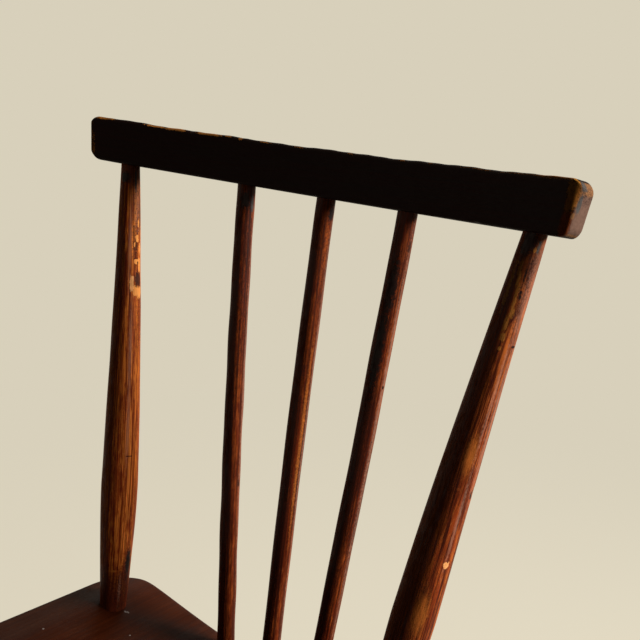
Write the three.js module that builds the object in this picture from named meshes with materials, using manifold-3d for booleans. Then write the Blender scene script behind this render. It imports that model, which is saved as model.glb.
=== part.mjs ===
// A stick-back chair of dark varnished wood. Lengths are in millimetres and +Z is up.
// The sitter faces -Y, and left and right are named as seen from the front.
import * as THREE from "three";
import { mergeVertices } from "three/addons/utils/BufferGeometryUtils.js";
import Module from "manifold-3d";

const wasm = await Module();
wasm.setup();

// Fits
const socketClearance = 0.3;
const socketBottomGap = 0.4;

// Seat: one plank, dished across its width, with its two rear ears left high
const seatHeight = 437;
const seatThickness = 45;
const seatRearWidth = 343;
const seatDepth = 400;
const seatSideFlare = 17.6;
const seatRearReach = 41;
const seatRearBow = 11;
const seatFrontBow = 12;
const rearCornerLength = 36;
const frontCornerLength = 52;
const seatEdgeRound = 3;
const seatUnderBevelWidth = 10;
const seatUnderBevelHeight = 8;
const dishDepth = 26;
const dishRim = 21;
const dishWidth = seatRearWidth - 2 * dishRim;
const dishSoftness = 0.12;
const dishFrontShare = 0.4;
const dishFadeLength = 170;

// Crest rail: a board sawn on a curve, leaning back, its ends sawn aslant so that it is longest
// along its top. It sits a little to the left of the sticks' middle.
const crestOverhang = 35.3;
const crestSideShift = -0.65;
const crestEndSlants = [10, 8.5].map(THREE.MathUtils.degToRad);
const crestSlantReach = 30;
const crestHeight = 35.2;
const crestThickness = 20.6;
const crestArrisRound = 3;
const crestTopCornerRound = 9.5;
const crestBottomCornerRound = 7;
const crestUnderside = 354.9;
const crestCurve = 28;
const crestLean = THREE.MathUtils.degToRad(11.8);

// Posts: the two outer turned sticks of the back
const postFootInset = 34.5;
const postOutwardLean = 50;
const postFootSpread = seatRearWidth - 2 * postFootInset;
const postHeadSpread = postFootSpread + 2 * postOutwardLean;
const crestLength = postHeadSpread + 2 * crestOverhang;
const postSetback = 62.6;
const postHeadDiameter = 15.2;
const postBellyDiameter = 30.2;
const postFootDiameter = 21.6;
const postBellyShare = 0.28;
const postTenonDiameter = 17;
const postTenonDepth = 24;
const postHeadTenonDiameter = 11.5;
const postHeadTenonDepth = 20;
const postBows = [new THREE.Vector3(0.7, 1.7, 0), new THREE.Vector3(-1.1, -1.3, 0)];

// Spindles: the three thin sticks between the posts, their feet bored by eye
const spindleHeadSpacing = 76.5;
const spindleFootPlaces = [-41.8, 1.8, 52];
const spindleFootCurve = 42.2;
const spindleMidDiameter = 14.8;
const spindleEndDiameter = 14.2;
const spindleTenonDiameter = 10.5;
const spindleTenonDepth = 11;
const spindleHeadTenonDepth = 19;
const spindleBows = [-3, -1.5, 1].map((bow) => new THREE.Vector3(bow, 0, 0));

// How far each stick of the back and each leg is let in before its tenon starts, and the share
// of that where it keeps its full width
const letIn = 8;
const fullWidthShare = 0.75;

// Legs: four turned and splayed sticks under the seat
const legSideInset = 48;
const frontLegInset = 58;
const rearLegInset = 78;
const legSideSplay = 32;
const frontLegSplay = 45;
const rearLegSplay = 85;
const legHeadDiameter = 27;
const legBellyDiameter = 33;
const legFootDiameter = 23;
const legBellyShare = 0.68;
const legTenonDiameter = 22;
const legTenonDepth = 22;

// Stretchers: one along each side and one across
const stretcherHeight = 172;
const sideStretcherMidDiameter = 22;
const sideStretcherEndDiameter = 15;
const crossStretcherMidDiameter = 20;
const crossStretcherEndDiameter = 13;
const stretcherShoulder = 2;
const stretcherLetIn = 4;
const stretcherPastAxis = 1.5;

// How fast a post or leg thins above and below its belly: 1 is a straight taper
const upperTaper = 1.15;
const lowerTaper = 1.5;

// How finely the round and curved shapes are divided
const postSides = 20;
const thinStickSides = 16;
const legSides = 18;
const longStations = 12;
const shortStations = 8;

const darkVarnish = new THREE.Color(0x2a1710);
const redVarnish = new THREE.Color(0x5a2c18);
const wornVarnish = new THREE.Color(0x74401f);

function finish(color, roughness) {
  return new THREE.MeshStandardMaterial({ color, roughness, metalness: 0 });
}

// A geometry as a solid that can be cut
function solidOf(geometry) {
  const bare = geometry.clone();
  bare.deleteAttribute("normal");
  bare.deleteAttribute("uv");
  const welded = mergeVertices(bare, 1e-4);
  const corners = [];
  const index = welded.index.array;
  for (let i = 0; i < index.length; i += 3) {
    const [a, b, c] = [index[i], index[i + 1], index[i + 2]];
    if (a !== b && b !== c && c !== a) corners.push(a, b, c);
  }
  return new wasm.Manifold(new wasm.Mesh({
    numProp: 3,
    vertProperties: new Float32Array(welded.attributes.position.array),
    triVerts: new Uint32Array(corners),
  }));
}

// A cut solid as a geometry again
function geometryOf(solid) {
  const cut = solid.getMesh();
  const geometry = new THREE.BufferGeometry();
  geometry.setAttribute("position", new THREE.BufferAttribute(cut.vertProperties, 3));
  geometry.setIndex(new THREE.BufferAttribute(cut.triVerts, 1));
  geometry.computeVertexNormals();
  return geometry;
}

// Half the seat's width at a place y along its depth, before the corners are rounded
function seatHalfWidth(y) {
  return seatRearWidth / 2 + seatSideFlare * (seatRearReach - y) / seatDepth;
}

// How far the dish has fallen at a place on the seat: full at the rear, shallower in front
function dishFall(x, y) {
  const inward = Math.max(0, 1 - Math.abs(x) / (dishWidth / 2));
  const eased = inward * inward / (inward + dishSoftness);
  const frontLine = seatRearReach - seatDepth;
  const fade = THREE.MathUtils.smoothstep(y, frontLine, frontLine + dishFadeLength);
  const share = dishFrontShare + (1 - dishFrontShare) * fade;
  return dishDepth * share * (1 - (1 - eased) ** 2);
}

function seatTop(x, y) {
  return seatHeight - dishFall(x, y);
}

// The seat's outline seen from above, anticlockwise, with its corners as soft curves
function seatOutline() {
  const rear = seatRearReach;
  const front = seatRearReach - seatDepth;
  const rearHalf = seatHalfWidth(rear);
  const frontHalf = seatHalfWidth(front);
  const rearX = rearHalf - rearCornerLength;
  const rearY = rear + seatRearBow * (1 - (rearX / rearHalf) ** 2);
  const frontX = frontHalf - frontCornerLength;
  const frontY = front - seatFrontBow * (1 - (frontX / frontHalf) ** 2);
  const rearSideY = rear - rearCornerLength;
  const frontSideY = front + frontCornerLength;
  const edge = new THREE.Path();
  edge.moveTo(-frontX, frontY);
  edge.quadraticCurveTo(0, 2 * (front - seatFrontBow) - frontY, frontX, frontY);
  edge.quadraticCurveTo(frontHalf, front, seatHalfWidth(frontSideY), frontSideY);
  edge.lineTo(seatHalfWidth(rearSideY), rearSideY);
  edge.quadraticCurveTo(rearHalf, rear, rearX, rearY);
  edge.quadraticCurveTo(0, 2 * (rear + seatRearBow) - rearY, -rearX, rearY);
  edge.quadraticCurveTo(-rearHalf, rear, -seatHalfWidth(rearSideY), rearSideY);
  edge.lineTo(-seatHalfWidth(frontSideY), frontSideY);
  edge.quadraticCurveTo(-frontHalf, front, -frontX, frontY);
  const divisions = [10, 5, 5, 5, 14, 5, 5, 5];
  const points = edge.curves.flatMap((curve, i) => curve.getPoints(divisions[i]).slice(1));
  return [points.at(-1), ...points];
}

// The seat blank: rings that follow the outline, from the middle of the underside round the
// edge to the middle of the top, where they follow the dish
function seatGeometry() {
  const outline = seatOutline();
  const centreY = seatRearReach - seatDepth / 2;
  const round = seatEdgeRound;
  const span = seatRearWidth / 2;
  const rings = [{ reach: 0, rise: 0 }];
  rings.push({ reach: 1 - seatUnderBevelWidth / span, rise: 0 }, { reach: 1, rise: seatUnderBevelHeight });
  for (const turn of [0, 45, 90]) {
    const angle = THREE.MathUtils.degToRad(turn);
    rings.push({ reach: 1 - round * (1 - Math.cos(angle)) / span, fall: round * (1 - Math.sin(angle)) });
  }
  for (const reach of [0.92, 0.85, 0.76, 0.65, 0.52, 0.38, 0.2, 0]) {
    rings.push({ reach, fall: 0 });
  }
  const profile = rings.map((ring, j) => new THREE.Vector2(ring.reach, j));
  const geometry = new THREE.LatheGeometry(profile, outline.length - 1);
  const position = geometry.attributes.position;
  outline.forEach((point, i) => {
    rings.forEach((ring, j) => {
      const x = point.x * ring.reach;
      const y = centreY + (point.y - centreY) * ring.reach;
      const low = ring.rise !== undefined;
      const z = low ? seatHeight - seatThickness + ring.rise : seatTop(x, y) - ring.fall;
      position.setXYZ(i * rings.length + j, x, y, z);
    });
  });
  return geometry;
}

// The crest's own frame: x along the chair's width, y out of its rear face, z up its height
const crestFrame = new THREE.Matrix4().makeRotationX(-crestLean);
crestFrame.setPosition(0, postSetback, seatHeight + crestUnderside);

function crestBend(x) {
  return crestCurve * (1 - (x / (postHeadSpread / 2)) ** 2);
}

// The middle of the crest's underside at a place x along it
function crestSeat(x) {
  return new THREE.Vector3(x, crestBend(x), 0).applyMatrix4(crestFrame);
}

// The places along the crest where its section is drawn, close together at the round corners
function crestStations() {
  const half = crestLength / 2;
  const straight = half - crestTopCornerRound;
  const count = 22;
  const places = [];
  for (let i = 0; i <= count; i += 1) places.push(straight * (2 * i / count - 1));
  for (const turn of [25, 48, 70, 90]) {
    const place = straight + crestTopCornerRound * Math.sin(THREE.MathUtils.degToRad(turn));
    places.push(place);
    places.unshift(-place);
  }
  return places;
}

// How far a rounded corner of the given radius has cut in at a place x along the crest
function cornerCut(x, radius) {
  const past = Math.max(0, Math.abs(x) - (crestLength / 2 - radius));
  return radius - Math.sqrt(Math.max(0, radius * radius - past * past));
}

// How far the slanted end draws in a place x along the crest at a height z
function endSlant(x, z) {
  const slope = x < 0 ? -Math.tan(crestEndSlants[0]) : Math.tan(crestEndSlants[1]);
  const near = THREE.MathUtils.clamp(1 - (crestLength / 2 - Math.abs(x)) / crestSlantReach, 0, 1);
  return slope * (z - crestHeight) * near;
}

// The crest blank: a board with round arrises and corners, bent to its curve
function crestGeometry() {
  const halfThick = crestThickness / 2;
  const r = crestArrisRound;
  const section = new THREE.Shape();
  section.moveTo(-halfThick + r, 0);
  section.absarc(halfThick - r, r, r, -Math.PI / 2, 0);
  section.absarc(halfThick - r, crestHeight - r, r, 0, Math.PI / 2);
  section.absarc(-halfThick + r, crestHeight - r, r, Math.PI / 2, Math.PI);
  section.absarc(-halfThick + r, r, r, Math.PI, Math.PI * 1.5);
  const stations = crestStations();
  const steps = stations.length - 1;
  const geometry = new THREE.ExtrudeGeometry(section, {
    depth: steps, steps, bevelEnabled: false, curveSegments: 2,
  });
  const position = geometry.attributes.position;
  for (let i = 0; i < position.count; i += 1) {
    const station = stations[Math.round(position.getZ(i))];
    const low = cornerCut(station, crestBottomCornerRound);
    const high = crestHeight - cornerCut(station, crestTopCornerRound);
    const z = low + (high - low) * position.getY(i) / crestHeight;
    const x = station + endSlant(station, z) + crestSideShift;
    position.setXYZ(i, x, position.getX(i) + crestBend(x), z);
  }
  return geometry.applyMatrix4(crestFrame);
}

// A turned stick from its foot to its head. Its full width goes a short way past each end,
// then a thinner tenon carries on into the piece that holds it. Spare grows it into a socket.
function stickGeometry(stick, spare = 0) {
  const length = stick.foot.distanceTo(stick.head);
  const end = (tip, station, sign) => {
    const full = stick.girth(station) / 2 + spare;
    const from = station * length;
    const step = sign * spare;
    const bottom = spare > 0 ? sign * socketBottomGap : 0;
    if (!tip.tenon) return [[0, from + sign * tip.depth], [full, from + sign * tip.depth]];
    const thin = tip.tenon / 2 + spare;
    return [
      [0, from + sign * tip.depth + bottom],
      [thin, from + sign * tip.depth + bottom],
      [thin, from + sign * tip.letIn + step],
      [full, from + sign * tip.letIn * fullWidthShare + step],
    ];
  };
  const profile = end(stick.footEnd, 0, -1);
  for (let i = 0; i <= stick.stations; i += 1) {
    const t = i / stick.stations;
    profile.push([stick.girth(t) / 2 + spare, t * length]);
  }
  profile.push(...end(stick.headEnd, 1, 1).reverse());
  const geometry = new THREE.LatheGeometry(
    profile.map(([radius, along]) => new THREE.Vector2(radius, along)), stick.sides);
  const turn = stickTurn(stick);
  const bow = stick.bow.clone().applyQuaternion(turn.clone().invert());
  const position = geometry.attributes.position;
  for (let i = 0; i < position.count; i += 1) {
    const t = THREE.MathUtils.clamp(position.getY(i) / length, 0, 1);
    const share = 4 * t * (1 - t);
    position.setX(i, position.getX(i) + bow.x * share);
    position.setZ(i, position.getZ(i) + bow.z * share);
  }
  return geometry;
}

function stickTurn(stick) {
  const along = stick.head.clone().sub(stick.foot).normalize();
  return new THREE.Quaternion().setFromUnitVectors(new THREE.Vector3(0, 1, 0), along);
}

function stickFrame(stick) {
  return new THREE.Matrix4().compose(stick.foot, stickTurn(stick), new THREE.Vector3(1, 1, 1));
}

// The hole that a stick's end needs, where that end lies
function socketFor(stick) {
  return solidOf(stickGeometry(stick, socketClearance).applyMatrix4(stickFrame(stick)));
}

// The swelling of a post or leg, from a foot to a belly to a head. Place 0 is the foot.
function bellied(foot, belly, head, share) {
  return (t) => {
    if (t > share) return belly - (belly - head) * ((t - share) / (1 - share)) ** upperTaper;
    return belly - (belly - foot) * ((share - t) / share) ** lowerTaper;
  };
}

// The slight swelling of a spindle or stretcher towards its middle
function cigar(end, middle) {
  return (t) => end + (middle - end) * Math.sin(Math.PI * t);
}

const chair = new THREE.Group();

function add(name, geometry, material, frame) {
  const mesh = new THREE.Mesh(geometry, material);
  mesh.name = name;
  if (frame) frame.decompose(mesh.position, mesh.quaternion, mesh.scale);
  chair.add(mesh);
}

// Back sticks
const tenonEnd = (diameter, depth) => ({ letIn, depth, tenon: diameter });

const posts = ["left_stile", "right_stile"].map((name, i) => {
  const side = i === 0 ? -1 : 1;
  const footX = side * postFootSpread / 2;
  return {
    name,
    foot: new THREE.Vector3(footX, 0, seatTop(footX, 0)),
    head: crestSeat(side * postHeadSpread / 2),
    girth: bellied(postFootDiameter, postBellyDiameter, postHeadDiameter, postBellyShare),
    footEnd: tenonEnd(postTenonDiameter, postTenonDepth),
    headEnd: tenonEnd(postHeadTenonDiameter, postHeadTenonDepth),
    bow: postBows[i],
    sides: postSides,
    stations: longStations,
  };
});

const spindles = ["left_spindle", "middle_spindle", "right_spindle"].map((name, i) => {
  const footX = spindleFootPlaces[i];
  const footY = spindleFootCurve * (1 - (footX / (postFootSpread / 2)) ** 2);
  return {
    name,
    foot: new THREE.Vector3(footX, footY, seatTop(footX, footY)),
    head: crestSeat((i - 1) * spindleHeadSpacing),
    girth: cigar(spindleEndDiameter, spindleMidDiameter),
    footEnd: tenonEnd(spindleTenonDiameter, spindleTenonDepth),
    headEnd: tenonEnd(spindleTenonDiameter, spindleHeadTenonDepth),
    bow: spindleBows[i],
    sides: thinStickSides,
    stations: shortStations,
  };
});

// Legs
const noBow = new THREE.Vector3(0, 0, 0);
const legHead = seatHeight - seatThickness;

const legs = ["front", "rear"].flatMap((place) => ["left", "right"].map((hand) => {
  const side = hand === "left" ? -1 : 1;
  const front = place === "front";
  const headY = front ? seatRearReach - seatDepth + frontLegInset : seatRearReach - rearLegInset;
  const headX = seatHalfWidth(headY) - legSideInset;
  const footY = headY + (front ? -frontLegSplay : rearLegSplay);
  return {
    name: `${place}_${hand}_leg`,
    foot: new THREE.Vector3(side * (headX + legSideSplay), footY, 0),
    head: new THREE.Vector3(side * headX, headY, legHead),
    girth: bellied(legFootDiameter, legBellyDiameter, legHeadDiameter, legBellyShare),
    footEnd: { depth: legFootDiameter },
    headEnd: tenonEnd(legTenonDiameter, legTenonDepth),
    bow: noBow,
    sides: legSides,
    stations: longStations,
  };
}));
const [frontLeft, frontRight, rearLeft, rearRight] = legs;

// A stretcher between two sticks, from a share of the way up the first to the same on the other
function stretcher(name, first, second, share, endDiameter, middleDiameter) {
  const from = first.foot.clone().lerp(first.head, share);
  const to = second.foot.clone().lerp(second.head, share);
  const along = to.clone().sub(from).normalize();
  const inset = (holder) => holder.girth(share) / 2;
  const end = (holder) => ({
    letIn: stretcherLetIn,
    depth: inset(holder) + stretcherPastAxis,
    tenon: endDiameter - 2 * stretcherShoulder,
  });
  return {
    name,
    foot: from.addScaledVector(along, inset(first)),
    head: to.addScaledVector(along, -inset(second)),
    girth: cigar(endDiameter, middleDiameter),
    footEnd: end(first),
    headEnd: end(second),
    bow: noBow,
    sides: thinStickSides,
    stations: shortStations,
  };
}

const upLeg = stretcherHeight / legHead;
const sides = [["left", rearLeft, frontLeft], ["right", rearRight, frontRight]];
const sideStretchers = sides.map(([hand, rear, front]) => stretcher(
  `${hand}_side_stretcher`, rear, front, upLeg, sideStretcherEndDiameter, sideStretcherMidDiameter));
const crossStretcher = stretcher(
  "cross_stretcher", ...sideStretchers, 0.5, crossStretcherEndDiameter, crossStretcherMidDiameter);

// The seat and the crest, bored for the sticks
const seatSockets = [...posts, ...spindles, ...legs].map(socketFor);
const seat = seatSockets.reduce((solid, socket) => solid.subtract(socket), solidOf(seatGeometry()));
add("seat", geometryOf(seat), finish(darkVarnish, 0.5));

const crestSockets = [...posts, ...spindles].map(socketFor);
const crest = crestSockets.reduce((solid, socket) => solid.subtract(socket), solidOf(crestGeometry()));
add("crest_rail", geometryOf(crest), finish(darkVarnish, 0.35));

for (const post of posts) add(post.name, stickGeometry(post), finish(wornVarnish, 0.3), stickFrame(post));
for (const spindle of spindles) {
  add(spindle.name, stickGeometry(spindle), finish(redVarnish, 0.3), stickFrame(spindle));
}

// The legs, bored for the side stretchers and sawn flat where they stand
const floorSpan = 4 * seatDepth;
const belowFloor = new THREE.BoxGeometry(floorSpan, floorSpan, floorSpan);
belowFloor.translate(0, 0, -floorSpan / 2);
const floorCut = solidOf(belowFloor);
const stretcherSockets = sideStretchers.map(socketFor);
for (const leg of legs) {
  const turned = solidOf(stickGeometry(leg).applyMatrix4(stickFrame(leg))).subtract(floorCut);
  const bored = stretcherSockets.reduce((solid, socket) => solid.subtract(socket), turned);
  add(leg.name, geometryOf(bored), finish(redVarnish, 0.4));
}

const crossSocket = socketFor(crossStretcher);
for (const side of sideStretchers) {
  const turned = solidOf(stickGeometry(side).applyMatrix4(stickFrame(side)));
  add(side.name, geometryOf(turned.subtract(crossSocket)), finish(redVarnish, 0.4));
}
add(crossStretcher.name, stickGeometry(crossStretcher), finish(redVarnish, 0.4), stickFrame(crossStretcher));

// The origin is on the floor, under the middle of the chair's box
const middle = new THREE.Box3().setFromObject(chair, true).getCenter(new THREE.Vector3());
chair.position.set(-middle.x, -middle.y, 0);

export default chair;
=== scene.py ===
import math

import bpy
import numpy as np
from mathutils import Matrix, Vector


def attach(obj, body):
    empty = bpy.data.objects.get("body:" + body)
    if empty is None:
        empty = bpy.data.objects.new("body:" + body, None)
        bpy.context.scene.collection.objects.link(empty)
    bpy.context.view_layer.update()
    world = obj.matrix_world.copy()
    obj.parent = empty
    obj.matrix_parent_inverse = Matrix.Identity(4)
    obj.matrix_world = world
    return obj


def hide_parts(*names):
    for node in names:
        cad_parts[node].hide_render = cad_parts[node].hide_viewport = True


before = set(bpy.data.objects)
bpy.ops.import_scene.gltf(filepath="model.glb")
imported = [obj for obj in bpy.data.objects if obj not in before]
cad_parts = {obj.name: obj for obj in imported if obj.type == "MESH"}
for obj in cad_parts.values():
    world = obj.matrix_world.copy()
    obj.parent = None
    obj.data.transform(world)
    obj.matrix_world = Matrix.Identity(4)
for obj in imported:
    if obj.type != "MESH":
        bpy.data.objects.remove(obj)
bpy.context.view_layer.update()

# Seat
# One thick plank, sawn to a rounded outline with its two rear ears left high, and dished across
# for the sitter. Its grain runs from front to rear, under a dark varnish rubbed dull by use.
CHAIR_PLACE = (0.000533, 0.132157, 0.0)  # the middle of the line through the posts' feet
EAR_HEIGHT = 0.437
PLANK_THICKNESS = 0.045
UNDERSIDE = EAR_HEIGHT - PLANK_THICKNESS
REAR_WIDTH = 0.343
PLANK_DEPTH = 0.400
SIDE_FLARE = 0.0176
REAR_REACH = 0.041
REAR_BOW = 0.011
FRONT_BOW = 0.012
REAR_CORNER = 0.036
FRONT_CORNER = 0.052
EDGE_ROUND = 0.003
UNDER_BEVEL_WIDTH = 0.010
UNDER_BEVEL_HEIGHT = 0.008
BEVEL_EASE, BEVEL_TIP = 0.006, 0.0008
DISH_DEPTH = 0.026
DISH_WIDTH = 0.301
DISH_SOFTNESS = 0.12
DISH_MIDDLE_ROUND = 0.012
DISH_FRONT_SHARE = 0.4
DISH_FADE = 0.170
SCRAPED_ACROSS, SCRAPED_ALONG = 0.00018, 0.00015
SHARP_EDGE = math.radians(50)


def smooth_step(x, low, high):
    t = np.clip((x - low) / (high - low), 0, 1)
    return t * t * (3 - 2 * t)


def seat_half_width(y):
    return REAR_WIDTH / 2 + SIDE_FLARE * (REAR_REACH - y) / PLANK_DEPTH


def dish_fall(x, y):
    across = np.sqrt(np.square(x) + DISH_MIDDLE_ROUND ** 2)
    inward = np.maximum(0, 1 - across / (DISH_WIDTH / 2))
    eased = inward ** 2 / (inward + DISH_SOFTNESS)
    front = REAR_REACH - PLANK_DEPTH
    share = DISH_FRONT_SHARE + (1 - DISH_FRONT_SHARE) * smooth_step(y, front, front + DISH_FADE)
    return DISH_DEPTH * share * (1 - (1 - eased) ** 2)


def curve_points(start, bend, end, count):
    t = np.linspace(0, 1, count, endpoint=False)[:, None]
    start, bend, end = map(np.array, (start, bend, end))
    return (1 - t) ** 2 * start + 2 * t * (1 - t) * bend + t * t * end


def plank_outline():
    rear, front = REAR_REACH, REAR_REACH - PLANK_DEPTH
    rear_half, front_half = seat_half_width(rear), seat_half_width(front)
    rear_x, front_x = rear_half - REAR_CORNER, front_half - FRONT_CORNER
    rear_y = rear + REAR_BOW * (1 - (rear_x / rear_half) ** 2)
    front_y = front - FRONT_BOW * (1 - (front_x / front_half) ** 2)
    rear_side, front_side = rear - REAR_CORNER, front + FRONT_CORNER
    right_front = (seat_half_width(front_side), front_side)
    right_rear = (seat_half_width(rear_side), rear_side)
    middle = ((right_front[0] + right_rear[0]) / 2, (front_side + rear_side) / 2)
    half = np.concatenate([
        curve_points((front_x, front_y), (front_half, front), right_front, 26),
        curve_points(right_front, middle, right_rear, 30),
        curve_points(right_rear, (rear_half, rear), (rear_x, rear_y), 26),
        [[rear_x, rear_y]],
    ])
    front_edge = curve_points((-front_x, front_y), (0, 2 * (front - FRONT_BOW) - front_y),
                              (front_x, front_y), 60)
    rear_edge = curve_points((rear_x, rear_y), (0, 2 * (rear + REAR_BOW) - rear_y),
                             (-rear_x, rear_y), 84)
    left = half[::-1] * (-1, 1)
    return np.concatenate([front_edge, half, rear_edge[1:], left[:-1]])


def ring_faces(rings, around):
    i, j = np.meshgrid(np.arange(rings - 1), np.arange(around), indexing="ij")
    a = i * around + j
    b = i * around + (j + 1) % around
    return np.stack([a, b, b + around, a + around], axis=-1).reshape(-1, 4).tolist()


def fan_faces(ring_start, around, centre, outward):
    faces = []
    for j in range(around):
        a, b = ring_start + j, ring_start + (j + 1) % around
        faces.append([centre, a, b] if outward else [centre, b, a])
    return faces


def closed_faces(rings, around):
    """Faces round a stack of rings, closed at each end by a fan to one of the two last points."""
    faces = ring_faces(rings, around)
    faces += fan_faces(0, around, rings * around, False)
    return faces + fan_faces((rings - 1) * around, around, rings * around + 1, True)


def add_piece(name, points, faces, grain, material, slot_name, *nodes):
    mesh = bpy.data.meshes.new(name)
    mesh.from_pydata((points + CHAIR_PLACE).tolist(), [], faces)
    mesh.validate()
    mesh.shade_smooth()
    mesh.set_sharp_from_angle(angle=SHARP_EDGE)
    wood = mesh.attributes.new("grain", "FLOAT_VECTOR", "POINT")
    wood.data.foreach_set("vector", np.ascontiguousarray(grain, dtype=np.float32).ravel())
    mesh.materials.append(material)
    piece = bpy.data.objects.new(name, mesh)
    bpy.context.scene.collection.objects.link(piece)
    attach(piece, "root")
    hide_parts(*nodes)


def seat_mesh():
    outline = plank_outline()
    around = len(outline)
    centre = np.array([0, REAR_REACH - PLANK_DEPTH / 2])
    span = REAR_WIDTH / 2
    bevel = 1 - UNDER_BEVEL_WIDTH / span
    low = [(reach, 0.0) for reach in (0.25, 0.5, 0.75, bevel - BEVEL_EASE)]
    low += [(bevel + BEVEL_EASE, BEVEL_TIP), (0.994, UNDER_BEVEL_HEIGHT - BEVEL_TIP)]
    low += [(1.0, UNDER_BEVEL_HEIGHT + 0.001)]
    high = [(1 - EDGE_ROUND * (1 - math.cos(turn)) / span, EDGE_ROUND * (1 - math.sin(turn)))
            for turn in np.radians(np.linspace(0, 90, 9))]
    high += [(reach, 0.0) for reach in np.linspace(0.965, 0.02, 52)]
    rings = []
    for reach, rise in low:
        flat = centre + (outline - centre) * reach
        rings.append(np.column_stack([flat, np.full(around, UNDERSIDE + rise)]))
    for reach, fall in high:
        flat = centre + (outline - centre) * reach
        scraped = SCRAPED_ACROSS * np.sin(flat[:, 0] * 190 + 3 * np.sin(flat[:, 1] * 21))
        scraped += SCRAPED_ALONG * np.sin(flat[:, 1] * 150 + 4 * np.sin(flat[:, 0] * 33))
        height = EAR_HEIGHT - dish_fall(flat[:, 0], flat[:, 1]) - fall
        height += scraped * smooth_step(1 - reach, 0.01, 0.08)
        rings.append(np.column_stack([flat, height]))
    middle_low = [*centre, UNDERSIDE]
    middle_top = [*centre, EAR_HEIGHT - float(dish_fall(0.0, centre[1]))]
    points = np.vstack([*rings, middle_low, middle_top])
    grain = points[:, [0, 2, 1]] - (0, EAR_HEIGHT, 0)
    return points, closed_faces(len(rings), around), grain


def paint(red, green, blue):
    def linear(value):
        share = value / 255
        return share / 12.92 if share <= 0.04045 else ((share + 0.055) / 1.055) ** 2.4
    return linear(red), linear(green), linear(blue), 1.0


def put(tree, kind, inputs=None, **settings):
    made = tree.nodes.new(kind)
    for key, value in settings.items():
        setattr(made, key, value)
    for key, value in (inputs or {}).items():
        if isinstance(value, bpy.types.NodeSocket):
            tree.links.new(value, made.inputs[key])
        else:
            made.inputs[key].default_value = value
    return made


def maths(tree, operation, *values, clamp=False):
    made = put(tree, "ShaderNodeMath", dict(enumerate(values)), operation=operation)
    made.use_clamp = clamp
    return made.outputs[0]


def vectors(tree, operation, *values):
    made = put(tree, "ShaderNodeVectorMath", dict(enumerate(values)), operation=operation)
    return made.outputs["Value" if operation == "LENGTH" else "Vector"]


def between(tree, value, low, high, to_low=0.0, to_high=1.0):
    made = put(tree, "ShaderNodeMapRange", {
        "Value": value, "From Min": low, "From Max": high, "To Min": to_low, "To Max": to_high,
    }, interpolation_type="SMOOTHSTEP")
    return made.outputs["Result"]


def mixed(tree, share, first, second, blend_type="MIX"):
    made = put(tree, "ShaderNodeMix", {0: share, 6: first, 7: second},
               data_type="RGBA", blend_type=blend_type)
    return made.outputs[2]


def noise(tree, place, stretch, detail, roughness=0.55):
    made = put(tree, "ShaderNodeTexNoise", {
        "Vector": vectors(tree, "MULTIPLY", place, stretch), "Scale": 1.0, "Detail": detail,
        "Roughness": roughness,
    })
    return made.outputs["Fac"]


def stirred(tree, base, texture, amount):
    """The base value, moved up and down by a texture about its middle."""
    return maths(tree, "MULTIPLY_ADD", maths(tree, "SUBTRACT", texture, 0.5), amount, base)


def new_group(name, inputs, outputs):
    group = bpy.data.node_groups.new(name, "ShaderNodeTree")
    for title, kind, default in inputs:
        socket = group.interface.new_socket(title, in_out="INPUT", socket_type=kind)
        if default is not None:
            socket.default_value = default
    for title, kind in outputs:
        group.interface.new_socket(title, in_out="OUTPUT", socket_type=kind)
    entry = group.nodes.new("NodeGroupInput").outputs
    result = group.nodes.new("NodeGroupOutput").inputs
    return group, entry, result


def wood_figure():
    """Growth rings round a pith off to one side, with streaks and fibres drawn out along z."""
    group, entry, result = new_group("wood figure", [
        ("Place", "NodeSocketVector", None),
        ("Pith", "NodeSocketVector", (0.03, 0.02, 0.0)),
        ("Ring Width", "NodeSocketFloat", 0.0022),
        ("Drift", "NodeSocketFloat", 0.004),
    ], [
        ("Late Wood", "NodeSocketFloat"),
        ("Streak", "NodeSocketFloat"),
        ("Fibre", "NodeSocketFloat"),
        ("Relief", "NodeSocketFloat"),
    ])
    place = entry["Place"]
    wander = noise(group, place, (9, 9, 3.2), detail=2.0)
    moved = maths(group, "MULTIPLY", maths(group, "SUBTRACT", wander, 0.5), entry["Drift"])
    ripple = noise(group, place, (160, 160, 14), detail=2.0)
    moved = stirred(group, moved, ripple, 0.0016)
    flat = vectors(group, "MULTIPLY", vectors(group, "SUBTRACT", place, entry["Pith"]), (1, 1, 0))
    reach = maths(group, "ADD", vectors(group, "LENGTH", flat), moved)
    count = maths(group, "DIVIDE", reach, entry["Ring Width"])
    share = maths(group, "FRACT", count)
    year = put(group, "ShaderNodeTexWhiteNoise", {"W": maths(group, "FLOOR", count)},
               noise_dimensions="1D").outputs["Value"]
    rising = between(group, share, 0.30, 0.88)
    falling = between(group, share, 0.90, 1.0, 1.0, 0.0)
    late = maths(group, "MULTIPLY", rising, falling)
    late = maths(group, "MULTIPLY", late, between(group, year, 0.0, 1.0, 0.35, 1.0))
    streak = noise(group, place, (640, 640, 8.0), detail=4.0, roughness=0.62)
    fibre = noise(group, place, (1500, 1500, 26), detail=2.0, roughness=0.6)
    group.links.new(late, result["Late Wood"])
    group.links.new(between(group, streak, 0.40, 0.61), result["Streak"])
    group.links.new(between(group, fibre, 0.3, 0.7), result["Fibre"])
    relief = maths(group, "MULTIPLY_ADD", fibre, 0.5, maths(group, "MULTIPLY", late, -0.5))
    group.links.new(relief, result["Relief"])
    return group


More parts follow.
